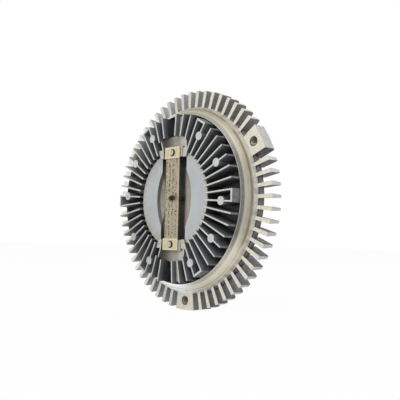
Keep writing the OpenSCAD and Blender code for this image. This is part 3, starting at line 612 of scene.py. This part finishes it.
def bimetal():
    """Rolled strip, yellowed, with columns of round dots, and a black patch about its centre hole with a
    brown rim to the right.
    """
    f = Finish("bimetal_finish", metallic=0.45)
    column_pitch = 4.4 * MM
    dot_spacing = 1.8 * MM
    colour = f.mottle(srgb(184, 174, 152), srgb(168, 158, 136), 5 * MM)
    speck = f.spots(0.9 * MM, 0.58, 0.07, (1.6, 1, 0.7))
    colour = f.mix(f.both(speck, 0.4), colour, srgb(120, 106, 82))
    wave = f.math("SINE", f.math("MULTIPLY", f.x, math.tau / column_pitch))
    column = f.both(f.above(wave, -0.35, 0.25), f.spots(9 * MM, 0.37, 0.06, (1.6, 1, 0.6)))
    colour = f.mix(f.both(f.dots(dot_spacing, 0.45, 0.08), column, 0.85), colour, srgb(80, 67, 49))
    edge = f.above(f.across(), strip_high.x - 0.6 * MM, 0.3 * MM)
    colour = f.mix(f.both(edge, 0.5), colour, srgb(200, 190, 166))
    # Black patch about the centre hole, with a brown rim to the right.
    halo = f.near(2.4 * MM, 0.2 * MM, 3.2 * MM, 1.4 * MM, 0.6)
    colour = f.mix(f.both(halo, 0.7), colour, srgb(120, 88, 54))
    stain = f.near(0.2 * MM, 0.2 * MM, 2.5 * MM, 0.6 * MM, 0.55)
    colour = f.mix(stain, colour, srgb(34, 25, 18))
    f.bump(f.noise(0.35 * MM, 2.0, (0.25, 1, 2.0)), 0.05 * MM, 0.5)
    f.rough(0.36, 0.52, 2 * MM, (0.3, 1, 2.0))
    return f.done(colour)


def clip_plating():
    """Yellow passivated plate with paler worn edges and a dark ring of painted shadow round the pegs, set off
    to the right.
    """
    f = Finish("clip_plating_finish", metallic=0.5)
    worn_width = 0.9 * MM
    colour = f.mottle(srgb(217, 202, 162), srgb(203, 185, 142), 3 * MM)
    iris = f.spots(2.2 * MM, 0.60, 0.10)
    colour = f.mix(f.both(iris, 0.4), colour, srgb(210, 196, 158))
    off_centre = f.math("ABSOLUTE", f.math("SUBTRACT", f.along(), peg_height))
    worn = f.either(f.above(f.across(), clip_high.x - worn_width, 0.4 * MM),
                    f.above(off_centre, (clip_high.z - clip_low.z) / 2 - worn_width, 0.4 * MM))
    colour = f.mix(f.both(worn, 0.75), colour, srgb(230, 221, 196))
    # Painted shadow: dark ring round each peg, set off to the right.
    upper, lower = [f.near(1.0 * MM, end * peg_height, peg_hole - 0.2 * MM, 0.3 * MM) for end in (1, -1)]
    colour = f.mix(f.both(f.either(upper, lower), 0.9), colour, srgb(58, 46, 30))
    f.bump(f.noise(0.4 * MM, 2.0, (0.4, 1, 1.6)), 0.05 * MM, 0.4)
    f.rough(0.28, 0.44, 2 * MM)
    return f.done(colour)


def turned_steel(name, light, dark, roughness=0.34, pitch=0.35 * MM):
    """Turned metal: fine rings about the axis over a slightly uneven tone."""
    f = Finish(name, roughness, metallic=0.75)
    colour = f.mottle(light, dark, 4 * MM)
    colour = f.mix(f.both(f.spots(1.2 * MM, 0.64, 0.06), 0.3), colour, dark)
    rings = f.math("SINE", f.math("MULTIPLY", f.math("ADD", f.radius(), f.depth), math.tau / pitch))
    f.bump(f.math("ADD", f.math("MULTIPLY", rings, 0.3), f.noise(0.8 * MM, 2.0)), 0.03 * MM, 0.5)
    f.rough(roughness - 0.06, roughness + 0.08, 3 * MM)
    return f.done(colour)


def dark_tip_pin():
    """Dull pin with a dark tip in the strip's hole."""
    f = Finish("stained_pin_finish", 0.6, metallic=0.4)
    colour = f.mottle(srgb(112, 108, 102), srgb(92, 88, 82), 1.5 * MM)
    # Dark tip where the pin shows in the strip's hole.
    colour = f.mix(f.above(f.depth, strip_back, 0.3 * MM), colour, srgb(30, 25, 20))
    f.bump(f.noise(0.4 * MM, 2.0), 0.03 * MM, 0.5)
    f.rough(0.5, 0.68, 1.5 * MM)
    return f.done(colour)


def sheet_metal(name, light, dark, roughness=0.38):
    """Rolled sheet: streaks along one direction and soft blotches."""
    f = Finish(name, roughness, metallic=0.7)
    streak = f.noise(1.5 * MM, 3.0, (0.15, 1, 2.5))
    colour = f.mix(f.above(streak, 0.5, 0.2), light, dark)
    colour = f.mix(f.both(f.spots(6 * MM, 0.58, 0.10), 0.4), colour, dark)
    f.bump(streak, 0.03 * MM, 0.5)
    f.rough(roughness - 0.06, roughness + 0.1, 4 * MM)
    return f.done(colour)


def seal_rubber():
    """Matte black rubber with a dusty bloom."""
    f = Finish("seal_rubber_finish", 0.75, metallic=0.0)
    colour = f.mottle(srgb(28, 28, 28), srgb(42, 41, 40), 2 * MM)
    f.bump(f.noise(0.3 * MM, 2.0), 0.03 * MM, 0.6)
    f.rough(0.66, 0.85, 2 * MM)
    return f.done(colour)


def dress(names, material):
    """Puts one finish on the named nodes."""
    for name in names:
        mesh = nodes[name].data
        mesh.materials.clear()
        mesh.materials.append(material)


def dress_nodes():
    """Gives the solids of the frame their finishes; the strip has its own pieces further on."""
    dress(["body_housing"], cast_body())
    dress(["front_cover"], cast_cover())
    dress(["upper_strip_clip", "lower_strip_clip"], clip_plating())
    dress(["cover_seal_ring", "control_pin_seal"], seal_rubber())
    bright = turned_steel("bright_steel_finish", srgb(176, 177, 178), srgb(146, 147, 149))
    dress(["drive_shaft", "valve_arm_rivet", "divider_rivets"], bright)
    dress(["control_pin"], dark_tip_pin())
    spring = sheet_metal("spring_steel_finish", srgb(86, 88, 92), srgb(62, 64, 68), 0.42)
    dress(["valve_arm", "pump_wiper", "rotor_retaining_ring", "bearing_retaining_ring"], spring)
    sheet = sheet_metal("sheet_steel_finish", srgb(158, 160, 163), srgb(134, 136, 140))
    dress(["divider_plate", "bearing_cage", "bearing_front_shield", "bearing_rear_shield"], sheet)
    dress(["rotor_disc"], turned_steel("rotor_finish", srgb(182, 183, 183), srgb(158, 159, 160), 0.4))
    ground = turned_steel("bearing_steel_finish", srgb(200, 201, 203), srgb(178, 179, 182), 0.24)
    dress(["bearing_outer_race", "bearing_inner_race", "bearing_balls"], ground)


def new_piece(name, vertices, faces, material, body):
    """Mesh object in the part's frame; it rides on a body unless that is None."""
    mesh = bpy.data.meshes.new(name)
    mesh.from_pydata([tuple(v) for v in vertices], [], faces)
    mesh.materials.append(material)
    mesh.update()
    piece = bpy.data.objects.new(name, mesh)
    bpy.context.scene.collection.objects.link(piece)
    if body is not None:
        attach(piece, body)
    return piece


# Outlines of the cast lugs beside the clips, each with the rib to its fin, in mm from the axis
RIGHT_LUG = [(12.9, 36.4), (16.8, 36.4), (19.0, 40.5), (19.0, 44.6), (18.0, 44.6),
             (17.4, 52.8), (15.9, 52.8), (16.5, 44.6), (13.2, 44.6)]
LEFT_LUG = [(12.9, 36.4), (16.6, 36.4), (19.2, 41.0), (20.0, 44.6), (15.2, 44.6),
            (18.1, 52.8), (16.7, 53.3), (13.4, 44.6)]
# Each lug's name and outline, and its signs to the side and up or down
LUG_PLACES = [("upper_right", RIGHT_LUG, 1, 1), ("lower_right", RIGHT_LUG, 1, -1),
              ("upper_left", LEFT_LUG, -1, 1), ("lower_left", LEFT_LUG, -1, -1)]
lug_sunk = 1.5 * MM
lug_proud = 2.0 * MM
lug_bevel = 0.4 * MM


def cast_lug():
    """Pale cast front, with painted shade on the sides."""
    f = Finish("cast_lug_finish", metallic=CAST_METAL)
    front = f.facing()[0]
    pale = f.mottle(srgb(200, 199, 193), srgb(180, 179, 171), 3 * MM)
    # Painted shade: sides darker than the front.
    colour = f.mix(f.above(front, 0.5, 0.2), srgb(112, 110, 104), pale)
    cast_grain(f, 0.10 * MM, 0.5)
    return f.done(colour)


def make_lugs():
    """Lugs that keep the clips from turning, with soft edges."""
    material = cast_lug()
    levels = (disc_depth - lug_sunk, disc_depth + lug_proud)
    for name, outline, side, end in LUG_PLACES:
        count = len(outline)
        vertices = [(side * x * MM, -depth, end * z * MM) for depth in levels for x, z in outline]
        faces = [list(range(count)), list(range(count, 2 * count))]
        faces += [[k, (k + 1) % count, count + (k + 1) % count, count + k] for k in range(count)]
        lug = new_piece("clip_lug_" + name, vertices, faces, material, None)
        soften_edges(lug.data, lug_bevel)
        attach(lug, "housing")


def soften_edges(mesh, width):
    """Rounds all edges of a mesh, with its faces turned outwards."""
    work = bmesh.new()
    work.from_mesh(mesh)
    bmesh.ops.recalc_face_normals(work, faces=work.faces)
    bmesh.ops.bevel(work, geom=work.edges[:], offset=width, segments=2, profile=0.5, affect="EDGES")
    work.to_mesh(mesh)
    work.free()


# Steps in one turn of a thread, and its gaps to the wall and the mouth of its hole
THREAD_STEPS = 40
thread_wall_gap = 0.02 * MM
thread_mouth_gap = 0.3 * MM


def thread_finish(name, tone, shade):
    """Soiled thread, with a painted highlight paling it on the left of the rim."""
    f = Finish(name, 0.42, metallic=0.5)
    colour = f.mottle(tone, shade, 1.5 * MM)
    # Painted highlight: paler on the left of the rim.
    colour = f.mix(f.below(f.x, -60 * MM, 5 * MM), colour, GLARE_PALE_BORE)
    f.bump(f.noise(0.3 * MM, 2.0), 0.03 * MM, 0.5)
    f.rough(0.34, 0.52, 1.5 * MM)
    return f.done(colour)


def thread_piece(name, mouth, axis, radius, pitch, length, material, body):
    """Helical ridge inside a hole, from its mouth inwards along -axis."""
    ridge_depth = 0.54 * pitch
    root_half = 0.44 * pitch
    crest_half = 0.12 * pitch
    side = axis.orthogonal().normalized()
    other = axis.cross(side)
    turns = (length - 2 * root_half) / pitch
    count = int(turns * THREAD_STEPS)
    section = [(0.0, -root_half), (ridge_depth - thread_wall_gap, -crest_half),
               (ridge_depth - thread_wall_gap, crest_half), (0.0, root_half)]
    vertices = []
    for k in range(count + 1):
        angle = math.tau * k / THREAD_STEPS
        along = root_half + pitch * k / THREAD_STEPS
        out = side * math.cos(angle) + other * math.sin(angle)
        run_out = min(1.0, k / THREAD_STEPS, (count - k) / THREAD_STEPS)
        for inward, shift in section:
            reach = radius - thread_wall_gap - inward * run_out
            vertices.append(mouth + out * reach - axis * (along + shift))
    size = len(section)
    faces = []
    for k in range(count):
        row, after = k * size, (k + 1) * size
        faces += [[row + i, row + (i + 1) % size, after + (i + 1) % size, after + i] for i in range(size)]
    faces += [list(range(size))[::-1], [count * size + i for i in range(size)]]
    return new_piece(name, vertices, faces, material, body)


def make_threads():
    """Screw threads in the boss holes and in the rear drive hole."""
    boss_pitch = 1.25 * MM
    boss_length = 12.6 * MM
    drive_pitch = 1.5 * MM
    drive_length = 17.5 * MM
    front = Vector((0, -1, 0))
    rear = Vector((0, 1, 0))
    brown = thread_finish("boss_thread_finish", srgb(150, 142, 124), srgb(100, 92, 78))
    for number, centre in enumerate(boss_centres(), 1):
        name = f"boss_thread_{number}"
        mouth = centre - front * thread_mouth_gap
        thread_piece(name, mouth, front, boss_hole, boss_pitch, boss_length, brown, "housing")
    steel = thread_finish("drive_thread_finish", srgb(150, 151, 152), srgb(112, 113, 115))
    mouth = -rear * thread_mouth_gap
    thread_piece("drive_thread", mouth, rear, drive_hole, drive_pitch, drive_length, steel, "drive")


# Rows that each half of the strip is cut into, and steps in half a hole
STRIP_ROWS = 48
STRIP_HOLE_STEPS = 24
strip_bevel = 0.15 * MM


def strip_outlines():
    """Outline of the strip's upper half, with half of the pin's hole in it, and its round peg hole."""
    half_width = strip_high.x
    end = strip_high.z
    outline = [(half_width, 0.0), (half_width, end - strip_bevel), (half_width - strip_bevel, end),
               (strip_bevel - half_width, end), (-half_width, end - strip_bevel), (-half_width, 0.0)]
    arc = [math.pi - math.pi * k / STRIP_HOLE_STEPS for k in range(STRIP_HOLE_STEPS + 1)]
    outline += [(pin_hole * math.cos(a), pin_hole * math.sin(a)) for a in arc]
    ring = [math.pi * k / STRIP_HOLE_STEPS for k in range(2 * STRIP_HOLE_STEPS)]
    hole = [(peg_hole * math.cos(a), peg_height + peg_hole * math.sin(a)) for a in ring]
    return outline, hole


def sheet_mesh(name, loops, thickness):
    """Flat sheet inside the first loop, with the other loops as its holes."""
    curve = bpy.data.curves.new(name, "CURVE")
    curve.dimensions = "2D"
    curve.fill_mode = "BOTH"
    curve.extrude = thickness / 2
    for loop in loops:
        spline = curve.splines.new("POLY")
        spline.points.add(len(loop) - 1)
        spline.use_cyclic_u = True
        for point, (u, v) in zip(spline.points, loop):
            point.co = (u, v, 0.0, 1.0)
    source = bpy.data.objects.new(name + "_outline", curve)
    bpy.context.scene.collection.objects.link(source)
    filled = source.evaluated_get(bpy.context.evaluated_depsgraph_get())
    mesh = bpy.data.meshes.new_from_object(filled)
    bpy.data.objects.remove(source)
    return mesh


def strip_half(name, side, material):
    """Half of the bimetal strip: side 1 is the upper half, -1 the lower."""
    mesh = sheet_mesh(name, strip_outlines(), strip_depth - strip_back)
    mesh.materials.clear()
    mesh.materials.append(material)
    middle = -(strip_depth + strip_back) / 2
    upright = Matrix(((1, 0, 0, 0), (0, 0, -1, middle), (0, side, 0, 0), (0, 0, 0, 1)))
    mesh.transform(upright)
    if side < 0:
        mesh.flip_normals()
    slice_rows(mesh, side)
    piece = bpy.data.objects.new(name, mesh)
    bpy.context.scene.collection.objects.link(piece)
    return piece


def slice_rows(mesh, side):
    """Cuts the strip crosswise into short rows, so that it can bow smoothly."""
    weld_distance = 0.001 * MM
    work = bmesh.new()
    work.from_mesh(mesh)
    bmesh.ops.remove_doubles(work, verts=work.verts, dist=weld_distance)
    for k in range(1, STRIP_ROWS):
        height = side * strip_high.z * k / STRIP_ROWS
        everything = work.verts[:] + work.edges[:] + work.faces[:]
        bmesh.ops.bisect_plane(work, geom=everything, plane_co=(0, 0, height), plane_no=(0, 0, 1))
    bmesh.ops.recalc_face_normals(work, faces=work.faces)
    work.to_mesh(mesh)
    work.free()


def make_strip():
    """Both halves of the strip, in the place of the frame's strip under the clips."""
    material = bimetal()
    for name, side in (("strip_upper_half", 1), ("strip_lower_half", -1)):
        piece = strip_half(name, side, material)
        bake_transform(piece)
        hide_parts("bimetal_strip")


def any_ray(tree, kinds):
    """Value that is 1 on rays of any of these kinds."""
    path = tree.nodes.new("ShaderNodeLightPath")
    found = path.outputs[kinds[0]]
    for kind in kinds[1:]:
        either = tree.nodes.new("ShaderNodeMath")
        either.operation = "MAXIMUM"
        tree.links.new(found, either.inputs[0])
        tree.links.new(path.outputs[kind], either.inputs[1])
        found = either.outputs[0]
    return found


def mixed_shader(tree, share, first, second):
    """The first shader, and the second one by its share."""
    blend = tree.nodes.new("ShaderNodeMixShader")
    tree.links.new(share, blend.inputs[0])
    tree.links.new(first.outputs[0], blend.inputs[1])
    tree.links.new(second.outputs[0], blend.inputs[2])
    return blend.outputs[0]


def make_stage():
    """Floor that keeps the shadow, and is white to the camera and in reflections."""
    reach = 6.0
    floor_height = cad_low.z - 0.2 * MM
    floor_grey = (0.86, 0.86, 0.86, 1)
    glow_share = 0.97
    corners = [(-reach, -reach, floor_height), (reach, -reach, floor_height),
               (reach, reach, floor_height), (-reach, reach, floor_height)]
    material = bpy.data.materials.new("floor_finish")
    material.use_nodes = True
    tree = material.node_tree
    tree.nodes.clear()
    diffuse = tree.nodes.new("ShaderNodeBsdfDiffuse")
    diffuse.inputs["Color"].default_value = floor_grey
    glow = tree.nodes.new("ShaderNodeEmission")
    glow.inputs["Color"].default_value = WHITE
    share = tree.nodes.new("ShaderNodeMath")
    share.operation = "MULTIPLY"
    share.inputs[1].default_value = glow_share
    tree.links.new(any_ray(tree, ["Is Camera Ray", "Is Glossy Ray"]), share.inputs[0])
    output = tree.nodes.new("ShaderNodeOutputMaterial")
    tree.links.new(mixed_shader(tree, share.outputs[0], diffuse, glow), output.inputs["Surface"])
    new_piece("floor", corners, [(0, 1, 2, 3)], material, None)


def make_world():
    """Soft white light all round, which the camera and reflections see as full white."""
    soft_strength = 0.5
    seen_strength = 1.0
    world = bpy.data.worlds.new("studio")
    bpy.context.scene.world = world
    world.use_nodes = True
    tree = world.node_tree
    tree.nodes.clear()
    soft = tree.nodes.new("ShaderNodeBackground")
    seen = tree.nodes.new("ShaderNodeBackground")
    for background, strength in ((soft, soft_strength), (seen, seen_strength)):
        background.inputs["Color"].default_value = WHITE
        background.inputs["Strength"].default_value = strength
    share = any_ray(tree, ["Is Camera Ray", "Is Glossy Ray", "Is Transmission Ray"])
    output = tree.nodes.new("ShaderNodeOutputWorld")
    tree.links.new(mixed_shader(tree, share, soft, seen), output.inputs["Surface"])


def make_lamp(name, place, size, power):
    """Square soft lamp that points at the middle of the clutch; its power is in watts."""
    lamp = bpy.data.lights.new(name, "AREA")
    lamp.shape = "SQUARE"
    lamp.size = size
    lamp.energy = power
    holder = bpy.data.objects.new(name, lamp)
    bpy.context.scene.collection.objects.link(holder)
    holder.location = place
    middle = Vector((0, (cad_low.y + cad_high.y) / 2, 0))
    holder.rotation_euler = (middle - Vector(place)).to_track_quat("-Z", "Y").to_euler()


def make_lights():
    """Key lamp from the upper front, weak fill on the right and a lamp for the rear."""
    make_lamp("key", place=(0.6, -1.5, 0.8), size=0.9, power=14.2)
    make_lamp("fill", place=(1.4, -0.5, 0.1), size=1.0, power=2)
    make_lamp("rear", place=(0.3, 1.3, 0.8), size=1.0, power=7)


def make_camera():
    """Camera at the photograph's angle, worked out from the fins, pads and bosses."""
    azimuth = math.radians(46.377)
    elevation = math.radians(-3.881)
    roll = math.radians(1.305)
    shift_right = -26.610 * MM
    shift_up = 1.009 * MM
    distance = 533.08 * MM
    focal_pixels = 597.40
    image_pixels = 400
    data = bpy.data.cameras.new("camera")
    data.sensor_width = 36.0
    data.lens = focal_pixels * data.sensor_width / image_pixels
    data.clip_start = 0.01
    data.clip_end = 50.0
    camera = bpy.data.objects.new("camera", data)
    bpy.context.scene.collection.objects.link(camera)
    level = math.cos(elevation)
    back = Vector((math.sin(azimuth) * level, -math.cos(azimuth) * level, math.sin(elevation)))
    right = Vector((math.cos(azimuth), math.sin(azimuth), 0))
    up = back.cross(right)
    place = distance * back - shift_right * right - shift_up * up + Vector((0, -front_depth, 0))
    turned_right = math.cos(roll) * right + math.sin(roll) * up
    turned_up = math.cos(roll) * up - math.sin(roll) * right
    axes = Matrix((turned_right, turned_up, back)).transposed().to_4x4()
    camera.matrix_world = Matrix.Translation(place) @ axes
    bpy.context.scene.camera = camera


dress_nodes()
make_lugs()
make_threads()
make_strip()
make_stage()
make_world()
make_lights()
make_camera()
bpy.context.scene.view_settings.view_transform = "Standard"
